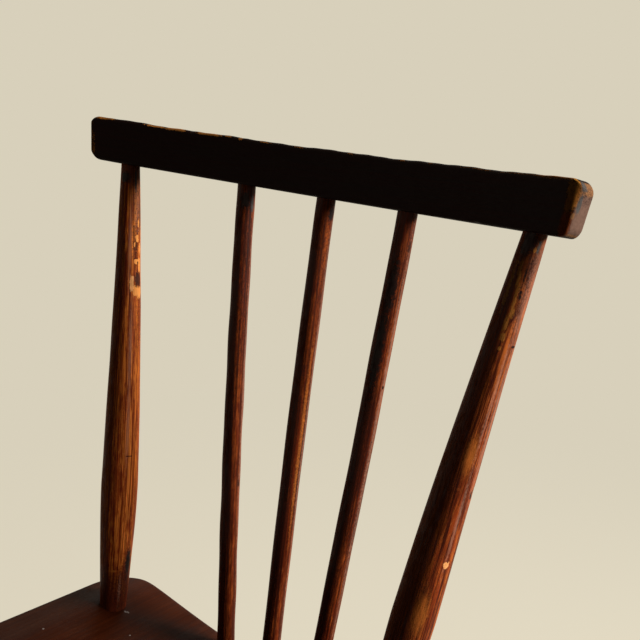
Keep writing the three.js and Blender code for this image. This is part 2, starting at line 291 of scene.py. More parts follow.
def placed_patch():
    """A patch of the surface with ragged edges, one inside it and nothing outside."""
    group, entry, result = new_group("placed patch", [
        ("Place", "NodeSocketVector", None),
        ("Centre", "NodeSocketVector", (0, 0, 0)),
        ("Half Size", "NodeSocketVector", (0.001, 0.001, 0.001)),
        ("Ragged", "NodeSocketFloat", 0.5),
        ("Soft", "NodeSocketFloat", 0.15),
        ("Squareness", "NodeSocketFloat", 2.0),
    ], [("Cover", "NodeSocketFloat")])
    away = vectors(group, "SUBTRACT", entry["Place"], entry["Centre"])
    away = vectors(group, "ABSOLUTE", vectors(group, "DIVIDE", away, entry["Half Size"]))
    parts = put(group, "ShaderNodeSeparateXYZ", {0: away}).outputs
    power = [maths(group, "POWER", part, entry["Squareness"]) for part in parts]
    total = maths(group, "ADD", maths(group, "ADD", power[0], power[1]), power[2])
    reach = maths(group, "POWER", total, maths(group, "DIVIDE", 1.0, entry["Squareness"]))
    torn = noise(group, entry["Place"], (620, 620, 480), detail=5.0, roughness=0.72)
    torn = maths(group, "MULTIPLY", maths(group, "SUBTRACT", torn, 0.5), entry["Ragged"])
    reach = maths(group, "MULTIPLY_ADD", torn, 2.6, reach)
    far = maths(group, "ADD", entry["Soft"], 1.0)
    near = maths(group, "SUBTRACT", 1.0, entry["Soft"])
    group.links.new(between(group, reach, near, far, 1.0, 0.0), result["Cover"])
    return group


def aged_varnish():
    """Two layers: a stain in the wood, gone where Bared is high, and islands of old top coat."""
    group, entry, result = new_group("aged varnish", [
        ("Place", "NodeSocketVector", None),
        ("Bared", "NodeSocketFloat", 0.0),
        ("Worn", "NodeSocketFloat", 0.0),
        ("Coat Left", "NodeSocketFloat", 0.5),
        ("Flecks", "NodeSocketFloat", 0.3),
    ], [
        ("Stain", "NodeSocketFloat"),
        ("Coat", "NodeSocketFloat"),
        ("Depth", "NodeSocketFloat"),
        ("Mottle", "NodeSocketFloat"),
        ("Craze", "NodeSocketFloat"),
        ("Specks", "NodeSocketFloat"),
        ("Height", "NodeSocketFloat"),
    ])
    place = entry["Place"]
    edge = noise(group, place, (700, 700, 300), detail=4.0, roughness=0.7)
    speck = noise(group, place, (420, 420, 120), detail=3.0, roughness=0.6)
    limit = maths(group, "SUBTRACT", 0.83, maths(group, "MULTIPLY", entry["Flecks"], 0.12))
    flecked = put(group, "ShaderNodeMapRange", {
        "Value": speck, "From Min": limit, "From Max": maths(group, "ADD", limit, 0.02),
    }).outputs["Result"]
    torn = stirred(group, entry["Bared"], edge, 0.5)
    gone = maths(group, "MAXIMUM", between(group, torn, 0.46, 0.54), flecked)
    stain = maths(group, "SUBTRACT", 1.0, gone, clamp=True)
    broad = noise(group, place, (95, 95, 16), detail=2.0, roughness=0.5)
    island = noise(group, place, (620, 620, 120), detail=5.0, roughness=0.72)
    cover = stirred(group, entry["Coat Left"], broad, 0.9)
    cover = stirred(group, cover, island, 1.5)
    cover = maths(group, "MULTIPLY_ADD", entry["Worn"], -0.8, cover)
    coat = maths(group, "MULTIPLY", between(group, cover, 0.36, 0.64), stain)
    depth = noise(group, place, (150, 150, 10), detail=4.0, roughness=0.6)
    mottle = noise(group, place, (420, 420, 170), detail=5.0, roughness=0.7)
    dirt = noise(group, place, (1300, 1300, 700), detail=4.0, roughness=0.75)
    crack = noise(group, place, (170, 170, 900), detail=2.0, roughness=0.5)
    group.links.new(stain, result["Stain"])
    group.links.new(coat, result["Coat"])
    group.links.new(between(group, depth, 0.34, 0.66), result["Depth"])
    group.links.new(between(group, mottle, 0.3, 0.7), result["Mottle"])
    group.links.new(between(group, crack, 0.68, 0.76), result["Craze"])
    group.links.new(between(group, dirt, 0.44, 0.66), result["Specks"])
    height = maths(group, "MULTIPLY_ADD", mottle, 0.16, maths(group, "MULTIPLY", stain, 0.14))
    height = maths(group, "MULTIPLY_ADD", coat, 0.10, height)
    group.links.new(height, result["Height"])
    return group


WOOD_FIGURE = wood_figure()
PLACED_PATCH = placed_patch()
AGED_VARNISH = aged_varnish()


def blended(tree, share, first, second):
    return put(tree, "ShaderNodeMix", {0: share, 2: first, 3: second}, data_type="FLOAT").outputs[0]


# How strongly each kind of mark covers, and its colour, in the order in which the marks lie.
TONES = {
    "wine": (0.9, paint(108, 36, 12)),
    # A darker, unworn varnish. Its long bands down the sticks' shaded sides are partly painted
    # shade, and its marks at the posts' tops under the crest are painted shadow.
    "deep": (0.6, paint(44, 14, 7)),
    "glow": (0.5, paint(204, 118, 48)),
    # A painted highlight: pale greyish stripes down the sticks' lit sides, where a lamp's sheen
    # lies.
    "painted_sheen": (0.42, paint(174, 124, 102)),
    "umber": (0.95, paint(58, 28, 18)),
    "rub": (1.0, paint(120, 56, 22)),
    # Light grey-brown of scuffed top coat, partly a painted reflection.
    "dull": (0.9, paint(108, 82, 70)),
    "tan": (1.0, paint(132, 92, 60)),
    # Grey marks on the varnish. High on the posts and at the left spindle's top they are a painted
    # glint.
    "grey_film_and_glint": (0.9, paint(72, 71, 70)),
    "ochre": (1.0, paint(244, 172, 106)),
    "old": (0.88, paint(174, 110, 46)),
    "straw": (0.85, paint(186, 128, 54)),
    "pale": (0.8, paint(164, 150, 142)),
    # Dark marks. At the posts' tops under the crest they are a painted shadow of it.
    "dark": (1.0, paint(26, 12, 10)),
}
IN_THE_FILM = ("wine", "deep", "glow", "painted_sheen")  # these lie in the varnish and vanish with it
SPECK_TONE = paint(22, 9, 8)
CRACK_TONE = paint(20, 9, 5)
# How soft each kind's edge is, and how square its outline.
MARK_EDGES = {
    "worn": (0.6, 2.0), "wine": (0.6, 2.0), "deep": (0.5, 2.0), "glow": (0.6, 2.0),
    "painted_sheen": (0.7, 2.0), "dark": (0.3, 2.0), "pale": (0.3, 2.0), "speck": (0.5, 2.0),
    "old": (0.22, 2.4), "rub": (0.4, 3.0), "straw": (0.3, 2.6),
}
CRISP_EDGE = (0.14, 3.2)
BARE_ROUGHNESS = 0.68


def varnished_wood(name, pith, ring_width, stained, streaked, coat_tint, bare, coat_left, flecks,
                   shift=(0, 0, 0), patches=(), worn_rough=0.52, coat_rough=0.42, ring_share=0.7,
                   streak_share=0.6, gloss=0.05, coat_shine=0.08, relief=0.9):
    """Stained wood under an old top coat. A patch is its kind, centre, half size and raggedness."""
    material = bpy.data.materials.new(name)
    material.use_nodes = True
    tree = material.node_tree
    tree.nodes.clear()
    here = put(tree, "ShaderNodeAttribute", attribute_name="grain").outputs["Vector"]
    place = vectors(tree, "ADD", here, shift)
    figure = put(tree, "ShaderNodeGroup", {
        "Place": place, "Pith": [a + b for a, b in zip(pith, shift)], "Ring Width": ring_width,
    }, node_tree=WOOD_FIGURE)
    masks = {}
    for kind, centre, half_size, ragged in patches:
        soft, squareness = MARK_EDGES.get(kind, CRISP_EDGE)
        cover = put(tree, "ShaderNodeGroup", {
            "Place": here, "Centre": centre, "Half Size": half_size, "Ragged": ragged,
            "Soft": soft, "Squareness": squareness,
        }, node_tree=PLACED_PATCH).outputs["Cover"]
        masks[kind] = maths(tree, "MAXIMUM", masks[kind], cover) if kind in masks else cover
    varnish = put(tree, "ShaderNodeGroup", {
        "Place": place, "Flecks": flecks, "Coat Left": coat_left,
    }, node_tree=AGED_VARNISH)
    for kind, title in (("bare", "Bared"), ("worn", "Worn")):
        if kind in masks:
            tree.links.new(masks[kind], varnish.inputs[title])
    stain, coat = varnish.outputs["Stain"], varnish.outputs["Coat"]
    ring = maths(tree, "MULTIPLY", figure.outputs["Late Wood"], ring_share)
    streak = maths(tree, "MULTIPLY", figure.outputs["Streak"], streak_share)
    dark = maths(tree, "MAXIMUM", ring, streak)
    dark = maths(tree, "MULTIPLY_ADD", figure.outputs["Fibre"], 0.22, dark, clamp=True)
    wood = mixed(tree, dark, stained, streaked)
    depth = maths(tree, "MULTIPLY", varnish.outputs["Depth"], 0.55)
    wood = mixed(tree, depth, wood, mixed(tree, 1.0, wood, coat_tint, "MULTIPLY"))
    colour = mixed(tree, coat, wood, mixed(tree, 1.0, wood, coat_tint, "MULTIPLY"))
    dirty_bare = [c * 0.55 for c in bare[:3]] + [1]
    bare_tone = bare
    for line in (figure.outputs["Fibre"], ring):
        bare_tone = mixed(tree, maths(tree, "MULTIPLY", line, 0.6), bare_tone, dirty_bare)
    colour = mixed(tree, stain, bare_tone, colour)
    cracks = maths(tree, "MULTIPLY", varnish.outputs["Craze"], 0.35)
    colour = mixed(tree, cracks, colour, CRACK_TONE)
    for kind, (strength, tone) in TONES.items():
        if kind in masks:
            shade = [part * 0.7 for part in tone[:3]] + [1]
            varied = mixed(tree, varnish.outputs["Mottle"], tone, shade)
            cover = maths(tree, "MULTIPLY", masks[kind], strength)
            if kind in IN_THE_FILM:
                cover = maths(tree, "MULTIPLY", cover, stain)
            colour = mixed(tree, cover, colour, varied)
    if "speck" in masks:
        specks = maths(tree, "MULTIPLY", masks["speck"], varnish.outputs["Specks"])
        specks = maths(tree, "MULTIPLY", specks, stain)
        colour = mixed(tree, specks, colour, SPECK_TONE)
    rough = blended(tree, coat, worn_rough, coat_rough)
    rough = blended(tree, stain, BARE_ROUGHNESS, rough)
    rough = maths(tree, "MULTIPLY_ADD", varnish.outputs["Mottle"], 0.12, rough)
    height = maths(tree, "MULTIPLY_ADD", figure.outputs["Relief"], 0.12, varnish.outputs["Height"])
    bump = put(tree, "ShaderNodeBump", {"Height": height, "Strength": relief, "Distance": 0.001})
    surface = put(tree, "ShaderNodeBsdfPrincipled", {
        "Base Color": colour, "Roughness": rough, "Normal": bump.outputs["Normal"],
        "Specular IOR Level": gloss, "Coat Weight": maths(tree, "MULTIPLY", coat, coat_shine),
        "Coat Roughness": 0.26, "Coat Normal": bump.outputs["Normal"],
    })
    put(tree, "ShaderNodeOutputMaterial", {"Surface": surface.outputs[0]})
    return material


seat_spots = [
    ("pale", (-0.1228, -0.0054, 0.0013), (0.0013, 0.0040, 0.0008), 0.3),
    ("pale", (-0.1212, -0.0054, 0.0026), (0.0013, 0.0040, 0.0008), 0.3),
    ("pale", (-0.1433, -0.0006, -0.0654), (0.0007, 0.0040, 0.0009), 0.3),
    ("pale", (-0.1003, -0.0110, -0.0129), (0.0006, 0.0040, 0.0007), 0.3),
]
seat_finish = varnished_wood(
    "seat varnish", pith=(0.05, -0.16, 0), ring_width=0.0042,
    stained=paint(80, 39, 17), streaked=paint(54, 24, 10), coat_tint=paint(208, 186, 166),
    bare=paint(150, 98, 58), flecks=0.12, coat_left=0.75, worn_rough=0.5, coat_rough=0.40,
    ring_share=0.4, streak_share=0.45, gloss=0.03, coat_shine=0.05, patches=seat_spots)
seat_points, seat_faces, seat_grain = seat_mesh()
add_piece("seat_plank", seat_points, seat_faces, seat_grain, seat_finish, "seat_varnish", "seat")

# Legs
# Four splayed sticks of stained and varnished wood, turned with a belly above the middle, tenoned
# up into the plank and sawn flat where they stand.
LET_IN = 0.008
LEG_SIDE_INSET = 0.048
FRONT_LEG_INSET = 0.058
REAR_LEG_INSET = 0.078
LEG_SIDE_SPLAY = 0.032
FRONT_LEG_SPLAY = 0.045
REAR_LEG_SPLAY = 0.085
LEG_HEAD, LEG_BELLY, LEG_FOOT = 0.027, 0.033, 0.023
LEG_BELLY_SHARE = 0.68
LEG_TENON, LEG_TENON_DEPTH = 0.022, 0.022
UPPER_TAPER = 1.15
LOWER_TAPER = 1.5
TENON_TIP, TENON_CHAMFER = 0.0008, 0.001
SHOULDER_EDGE, SOCKET_EDGE = 0.0002, 0.0005
UNEVEN_TURNING = 0.00014
TRUE_END = 0.02  # how far from its ends a stick is turned true
SAWN_REACH = 0.05


def bellied(foot, belly, head, share):
    def girth(t):
        up = np.clip((t - share) / (1 - share), 0, 1)
        down = np.clip((share - t) / share, 0, 1)
        above = belly - (belly - head) * up ** UPPER_TAPER
        below = belly - (belly - foot) * down ** LOWER_TAPER
        return np.where(t > share, above, below)
    return girth


def stick_mesh(foot, head, girth, foot_tenon, head_tenon, seed, bow=(0, 0, 0), sides=56,
               stations=170, dents=(), let_in=LET_IN):
    """A hand-turned stick, whose own z runs from foot to head, and which is sawn level at the floor
    where it has no foot tenon. A dent is its height, angle, depth, half length and half width."""
    foot, head, bow = (np.array(v, float) for v in (foot, head, bow))
    length = float(np.linalg.norm(head - foot))
    axis = (head - foot) / length
    side = np.array([1.0, 0, 0]) if abs(axis[0]) < 0.9 else np.array([0, 0, 1.0])
    side = side - side.dot(axis) * axis
    side /= np.linalg.norm(side)
    front = np.cross(axis, side)
    draw = np.random.default_rng(seed)
    at_foot, at_head = float(girth(0.0)) / 2, float(girth(1.0)) / 2
    rings = []
    if foot_tenon:
        thin, depth = foot_tenon
        rings += [(-depth, thin / 2 - TENON_TIP), (-depth + TENON_CHAMFER, thin / 2)]
        rings += [(-let_in, thin / 2), (-let_in + SHOULDER_EDGE, at_foot), (-SOCKET_EDGE, at_foot)]
    rings += [(t * length, float(girth(t)) / 2) for t in np.linspace(0, 1, stations + 1)]
    thin, depth = head_tenon
    rings += [(length + SOCKET_EDGE, at_head), (length + let_in - SHOULDER_EDGE, at_head)]
    rings += [(length + let_in, thin / 2), (length + depth - TENON_CHAMFER, thin / 2)]
    rings += [(length + depth, thin / 2 - TENON_TIP)]
    along, radius = (np.array(column)[:, None] for column in zip(*rings))
    turn = np.linspace(0, 2 * math.pi, sides, endpoint=False)[None, :]
    inside = smooth_step(along, 0, TRUE_END) * (1 - smooth_step(along, length - TRUE_END, length))
    change = np.zeros((len(rings), sides))
    for _ in range(5):
        wave = 2 * math.pi / draw.uniform(0.045, 0.19)
        lobes = draw.integers(0, 4)
        change += UNEVEN_TURNING * draw.uniform(0.3, 1) * np.sin(
            along * wave + draw.uniform(0, 6.28)) * np.cos(lobes * (turn - draw.uniform(0, 6.28)))
    change *= inside
    for place, angle, depth_of, half_long, half_round in dents:
        off = (turn - math.radians(angle) + math.pi) % (2 * math.pi) - math.pi
        reach = ((along - place) / half_long) ** 2 + (off * radius / half_round) ** 2
        change -= depth_of * np.exp(-reach * 1.4)
    full = radius + change
    x, y = full * np.cos(turn), full * np.sin(turn)
    z = np.broadcast_to(along, x.shape).copy()
    if not foot_tenon:
        cut = -(foot[2] + x[0] * side[2] + y[0] * front[2]) / axis[2]
        z += (cut - z[0]) * (1 - smooth_step(along, 0.0, SAWN_REACH))
    share = np.clip(z / length, 0, 1)
    sway = (4 * share * (1 - share))[..., None] * bow
    local = np.stack([x, y, z], axis=-1)
    world = foot + x[..., None] * side + y[..., None] * front + z[..., None] * axis + sway
    tips = np.array([[0, 0, float(z[0].mean())], [0, 0, float(z[-1].mean())]])
    local = np.vstack([local.reshape(-1, 3), tips])
    world = np.vstack([world.reshape(-1, 3), foot + tips[:, 2:] * axis])
    return world, closed_faces(len(rings), sides), local


leg_girth = bellied(LEG_FOOT, LEG_BELLY, LEG_HEAD, LEG_BELLY_SHARE)
leg_finish = varnished_wood(
    "leg varnish", pith=(0.021, 0.012, 0), ring_width=0.0021,
    stained=paint(160, 86, 38), streaked=paint(76, 32, 13), coat_tint=paint(190, 160, 152),
    bare=paint(200, 138, 78), flecks=0.5, coat_left=0.6)
legs = {}
corners = [("front", "left"), ("front", "right"), ("rear", "left"), ("rear", "right")]
for number, (end, hand) in enumerate(corners):
    sign = -1 if hand == "left" else 1
    if end == "front":
        head_y, splay = REAR_REACH - PLANK_DEPTH + FRONT_LEG_INSET, -FRONT_LEG_SPLAY
    else:
        head_y, splay = REAR_REACH - REAR_LEG_INSET, REAR_LEG_SPLAY
    head_x = seat_half_width(head_y) - LEG_SIDE_INSET
    leg_foot = np.array([sign * (head_x + LEG_SIDE_SPLAY), head_y + splay, 0])
    leg_head = np.array([sign * head_x, head_y, UNDERSIDE])
    legs[end, hand] = leg_foot, leg_head
    leg_points, leg_faces, leg_grain = stick_mesh(
        leg_foot, leg_head, leg_girth, None, (LEG_TENON, LEG_TENON_DEPTH), seed=11 + number,
        dents=[(0.06 + 0.05 * number, 70 * number - 60, 0.0006, 0.004, 0.003),
               (0.21 + 0.02 * number, 200 - 40 * number, 0.0004, 0.006, 0.003)])
    add_piece(f"{end}_{hand}_turned_leg", leg_points, leg_faces,
              leg_grain + (0.0, 0.0, 1.37 * number), leg_finish, "leg_varnish", f"{end}_{hand}_leg")

# Stretchers
# Three thin rods of the same stained wood with a slight belly: one from rear leg to front leg on
# each side, and one across between those two. Their ends are pushed into bored holes.
STRETCHER_SHARE = 0.172 / 0.392
STRETCHER_SHOULDER = 0.002
STRETCHER_LET_IN = 0.004
STRETCHER_PAST_AXIS = 0.0015
SIDE_ROD_END, SIDE_ROD_MIDDLE = 0.015, 0.022
CROSS_ROD_END, CROSS_ROD_MIDDLE = 0.013, 0.020


def cigar(end, middle):
    return lambda t: end + (middle - end) * np.sin(math.pi * np.clip(t, 0, 1))


def rod_between(first, second, share, girth, end):
    """The two ends of a rod between two like sticks, at their surfaces, and its tenon."""
    start = first[0] + (first[1] - first[0]) * share
    stop = second[0] + (second[1] - second[0]) * share
    way = (stop - start) / np.linalg.norm(stop - start)
    inset = float(girth(share)) / 2
    tenon = (end - 2 * STRETCHER_SHOULDER, inset + STRETCHER_PAST_AXIS)
    return start + way * inset, stop - way * inset, tenon


stretcher_finish = varnished_wood(
    "stretcher varnish", pith=(-0.014, 0.02, 0), ring_width=0.0019,
    stained=paint(150, 78, 34), streaked=paint(70, 29, 12), coat_tint=paint(190, 160, 152),
    bare=paint(190, 130, 74), flecks=0.6, coat_left=0.6)
side_rods = []
side_girth = cigar(SIDE_ROD_END, SIDE_ROD_MIDDLE)
cross_girth = cigar(CROSS_ROD_END, CROSS_ROD_MIDDLE)
for number, hand in enumerate(["left", "right"]):
    rod_foot, rod_head, tenon = rod_between(
        legs["rear", hand], legs["front", hand], STRETCHER_SHARE, leg_girth, SIDE_ROD_END)
    side_rods.append((rod_foot, rod_head))
    rod_points, rod_faces, rod_grain = stick_mesh(
        rod_foot, rod_head, side_girth, tenon, tenon, seed=31 + number, sides=44,
        stations=130, let_in=STRETCHER_LET_IN)
    add_piece(f"{hand}_side_rod", rod_points, rod_faces, rod_grain + (0, 0, 0.9 * number),
              stretcher_finish, "stretcher_varnish", f"{hand}_side_stretcher")
rod_foot, rod_head, tenon = rod_between(*side_rods, 0.5, side_girth, CROSS_ROD_END)
rod_points, rod_faces, rod_grain = stick_mesh(
    rod_foot, rod_head, cross_girth, tenon, tenon, seed=37, sides=44, stations=150,
    let_in=STRETCHER_LET_IN)
add_piece("cross_rod", rod_points, rod_faces, rod_grain + (0, 0, 1.9), stretcher_finish,
          "stretcher_varnish", "cross_stretcher")

# Posts
# The two outer sticks of the back, turned with a belly low down and tenoned into the plank and the
# crest rail. The varnish has flaked off them where hands and walls rub, down to yellow wood, and
# their grain shows as long dark stripes.
CREST_LEAN = math.radians(11.8)
CREST_UNDERSIDE = 0.3549
CREST_CURVE = 0.028
POST_SETBACK = 0.0626
POST_HEAD_SPREAD = 0.374
POST_FOOT_SPREAD = 0.2740
POST_LENGTH = 0.3657
POST_HEAD, POST_BELLY, POST_FOOT = 0.0152, 0.0302, 0.0216
POST_BELLY_SHARE = 0.28
POST_TENON, POST_TENON_DEPTH = 0.017, 0.024
POST_HEAD_TENON, POST_HEAD_TENON_DEPTH = 0.0115, 0.020


def crest_place(x, y, z):
    """A place in the crest's own board, bent to its curve and leant back."""
    rear = y + CREST_CURVE * (1 - (x / (POST_HEAD_SPREAD / 2)) ** 2)
    lean, rise = math.sin(CREST_LEAN), math.cos(CREST_LEAN)
    return np.stack([
        x,
        POST_SETBACK + rear * rise + z * lean,
        EAR_HEIGHT + CREST_UNDERSIDE - rear * lean + z * rise,
    ], axis=-1)


def on_stick(girth, length, along, angle, half_long, half_round, kind, ragged):
    """A patch on a stick, in millimetres from its foot and degrees round it."""
    reach = float(girth(along / 1000 / length)) / 2
    turn = math.radians(angle)
    centre = (reach * math.cos(turn), reach * math.sin(turn), along / 1000)
    return kind, centre, (half_round / 1000, half_round / 1000, half_long / 1000), ragged


post_girth = bellied(POST_FOOT, POST_BELLY, POST_HEAD, POST_BELLY_SHARE)
left_patches = [on_stick(post_girth, POST_LENGTH, *spot) for spot in [
    (262.6, -2, 4.6, 2.6, "bare", 0.7), (261.0, 18, 4.8, 2.6, "bare", 0.8),
    (286.3, 0, 2.0, 2.4, "bare", 0.5), (283.5, 20, 6.0, 1.6, "bare", 0.7),
    (305.4, 3, 3.0, 1.6, "bare", 0.6), (297.0, 24, 5.0, 1.1, "bare", 1.2),
    (318.0, 10, 3.0, 0.8, "bare", 1.2), (300.5, -12, 2.0, 0.7, "bare", 1.0),
    (268.3, -23, 6.2, 1.7, "ochre", 0.6), (271.8, 9, 5.8, 3.0, "umber", 0.9),
    (285.6, 8, 1.3, 0.8, "dark", 0.8), (126.0, -15, 0.45, 2.8, "umber", 0.5),
    # The dark mark at 355 mm and the deep one at 363 mm, at the top under the crest, are a painted
    # shadow of the crest.
    (36.0, 12, 11.0, 3.2, "dark", 0.9), (355.0, -70, 4.6, 4.2, "dark", 0.5),
    (6.0, -29, 26.0, 26.0, "deep", 0.4), (322.0, 22, 12.0, 2.4, "deep", 1.8),
    (300.0, -8, 16.0, 2.0, "deep", 1.8), (363.0, 0, 12.0, 12.0, "deep", 0.6),
    # The long deep band down the left post's shaded side, at 190 mm, is partly painted shade.
    (190.0, -114, 178.0, 8.0, "deep", 0.4), (1.0, -29, 19.0, 30.0, "wine", 0.8),
    (24.0, 8, 22.0, 5.0, "wine", 0.8), (336.0, 20, 26.0, 5.0, "worn", 0.8),
    (342.0, 15, 24.0, 6.0, "speck", 0.6), (312.0, 2, 22.0, 4.0, "speck", 1.4),
    (240.0, 25, 26.0, 5.0, "speck", 1.2), (12.0, -10, 20.0, 8.0, "speck", 0.8),
    (76.0, -8, 5.0, 2.2, "glow", 0.7), (30.0, -48, 0.8, 3.5, "glow", 0.9),
    # The grey mark at 352 mm near the left post's top is a painted glint.
    (352.0, -8, 9.0, 1.0, "grey_film_and_glint", 0.9), (15.0, -20, 12.0, 1.0, "painted_sheen", 0.9),
    # The long pale stripes down the left post's lit side, and the short one at its foot on the line
    # above, are a painted highlight.
    (302.0, -35, 60.0, 1.3, "painted_sheen", 0.8), (215.0, -23, 50.0, 1.4, "painted_sheen", 0.8),
    (150.0, -23, 36.0, 1.3, "painted_sheen", 0.8), (338.0, 10, 24.0, 3.6, "painted_sheen", 1.4),
]]
right_patches = [on_stick(post_girth, POST_LENGTH, *spot) for spot in [
    (344.0, -79, 5.5, 1.1, "old", 0.9), (337.0, -71, 4.5, 0.9, "old", 0.9),
    (330.0, -60, 5.0, 1.1, "old", 0.9), (322.5, -58, 4.0, 1.0, "old", 0.9),
    (316.0, -55, 3.6, 1.5, "old", 0.8), (309.0, -64, 4.5, 1.4, "old", 0.9),
    (300.5, -60, 2.4, 1.7, "old", 0.9), (332.0, -100, 16.0, 1.2, "old", 1.6),
    (293.2, -58, 1.3, 1.0, "old", 0.4), (147.9, -16, 2.0, 2.2, "ochre", 0.9),
    (199.8, -46, 0.7, 1.5, "rub", 0.8), (223.0, -42, 12.0, 3.6, "glow", 0.6),
    (112.0, -48, 13.0, 4.2, "glow", 0.7), (356.5, -42, 1.5, 0.9, "old", 1.0),
    # The grey mark at 358.5 mm near the right post's top is a painted glint.
    (358.5, -27, 4.0, 0.9, "grey_film_and_glint", 0.9), (340.0, -30, 19.0, 4.6, "speck", 0.8),
    (318.0, -36, 16.0, 2.6, "speck", 0.9), (328.0, -44, 3.4, 0.7, "dark", 2.2),
    # The dark mark at 360 mm and the deep one at 352 mm, at the top under the crest, are a painted
    # shadow of the crest.
    (341.0, -48, 4.0, 0.7, "dark", 2.2), (360.0, -80, 9.0, 4.5, "dark", 0.8),
    (295.4, 0, 0.8, 2.3, "dark", 0.6), (196.0, 10, 3.2, 2.0, "dark", 0.4),
    (128.0, -56, 6.0, 2.0, "deep", 1.3), (119.5, -61, 5.0, 1.6, "deep", 1.3),
    # The long deep band down the right post's shaded side, at 190 mm, is partly painted shade.
    (352.0, -48, 14.0, 9.0, "deep", 0.6), (190.0, -112, 178.0, 10.0, "deep", 0.4),
    # The long pale stripes down the right post's lit side are a painted highlight.
    (262.0, -25, 76.0, 1.1, "painted_sheen", 1.3), (180.0, -21, 50.0, 1.1, "painted_sheen", 1.3),
    (330.0, -8, 32.0, 3.6, "painted_sheen", 1.2), (250.0, 5, 60.0, 2.4, "painted_sheen", 1.2),
]]
post_wood = dict(coat_tint=paint(204, 168, 160), bare=paint(240, 156, 80), flecks=0.22,
                 ring_share=0.85, streak_share=0.88)
left_post_finish = varnished_wood(
    "left post varnish", pith=(0.004, -0.028, 0), ring_width=0.0016, patches=left_patches,
    shift=(0.3, 0.1, 0.2), coat_left=0.45, stained=paint(246, 145, 58),
    streaked=paint(116, 41, 11), **post_wood)
right_post_finish = varnished_wood(
    "right post varnish", pith=(-0.022, 0.012, 0), ring_width=0.0017, patches=right_patches,
    shift=(0.7, 0.4, 0.9), coat_left=0.5, stained=paint(184, 100, 43),
    streaked=paint(76, 28, 9), **post_wood)
for hand, sign, finish, bow, dents in [
    ("left", -1, left_post_finish, (0.0007, 0.0017, 0), [(0.042, -57, 0.0003, 0.018, 0.0012)]),
    ("right", 1, right_post_finish, (-0.0011, -0.0013, 0), [(0.1974, 16, 0.0006, 0.004, 0.003)]),
]:
    foot_x = sign * POST_FOOT_SPREAD / 2
    post_foot = (foot_x, 0.0, EAR_HEIGHT - float(dish_fall(foot_x, 0.0)))
    post_head = crest_place(sign * POST_HEAD_SPREAD / 2, 0.0, 0.0)
    post_points, post_faces, post_grain = stick_mesh(
        post_foot, post_head, post_girth, (POST_TENON, POST_TENON_DEPTH),
        (POST_HEAD_TENON, POST_HEAD_TENON_DEPTH), seed=51 + sign, bow=bow, sides=72,
        stations=240, dents=dents)
    add_piece(f"{hand}_post", post_points, post_faces, post_grain, finish, "post_varnish",
              f"{hand}_stile")

# Spindles
# Three thin sticks of stained wood between the posts, darker and redder than they are, each a
# little bowed. Their ends are pushed into holes in the plank and in the crest rail.
SPINDLE_SPACING = 0.0765
SPINDLE_FEET = (-0.0418, 0.0018, 0.052)
SPINDLE_FOOT_CURVE = 0.0422
SPINDLE_BOWS = (-0.003, -0.0015, 0.001)
SPINDLE_END, SPINDLE_MIDDLE = 0.0142, 0.0148
SPINDLE_TENON, SPINDLE_FOOT_DEPTH, SPINDLE_HEAD_DEPTH = 0.0105, 0.012, 0.019
SPINDLE_DENTS = ([(0.1392, 13, 0.0005, 0.004, 0.002)], (), ())
SPINDLE_RAGGED = 1.2
spindle_girth = cigar(SPINDLE_END, SPINDLE_MIDDLE)
spindle_wood = dict(stained=paint(150, 72, 26), streaked=paint(62, 23, 9),
                    coat_tint=paint(182, 150, 146), bare=paint(190, 128, 78), flecks=0.1,
                    coat_left=0.55, ring_share=0.8, streak_share=0.8)
# On each spindle, the long pale stripe down its lit side is a painted highlight.
spindle_spots = [
    # The grey mark at the left spindle's top is a painted glint.
    [(139.2, 13, 3.0, 1.4, "dark"), (365.0, -50, 6.0, 4.0, "dark"), (362.5, 2, 6.0, 1.3, "grey_film_and_glint"),
     (354.0, 4, 2.2, 0.9, "rub"), (300.0, -10, 70.0, 5.0, "speck"),
     # The long deep bands down the spindles' shaded sides are partly painted shade.
     (230.0, 22, 140.0, 1.5, "painted_sheen"), (215.0, -84, 170.0, 4.0, "deep"),
     (325.0, -14, 20.0, 1.6, "deep")],
    [(367.0, 0, 5.0, 3.0, "dark"), (215.0, 40, 70.0, 1.7, "dark"), (340.0, 0, 40.0, 5.0, "speck"),
     (180.0, 0, 60.0, 4.0, "speck"), (215.0, -80, 170.0, 4.2, "deep"),
     (190.0, -16, 60.0, 1.3, "glow"), (210.0, 17, 150.0, 1.5, "painted_sheen")],
    # The dark marks at 322 and 276 mm down the right spindle's shaded side are partly painted
    # shade.
    [(250.0, 0, 1.5, 1.0, "dark"), (322.0, -66, 20.0, 3.4, "dark"),
     (276.0, -76, 32.0, 3.4, "dark"), (352.0, -6, 3.5, 1.2, "umber"),
     (345.0, 10, 30.0, 4.0, "speck"), (150.0, 0, 60.0, 4.0, "speck"),
     (215.0, -86, 170.0, 5.4, "deep"), (220.0, 2, 150.0, 1.6, "painted_sheen")],
]
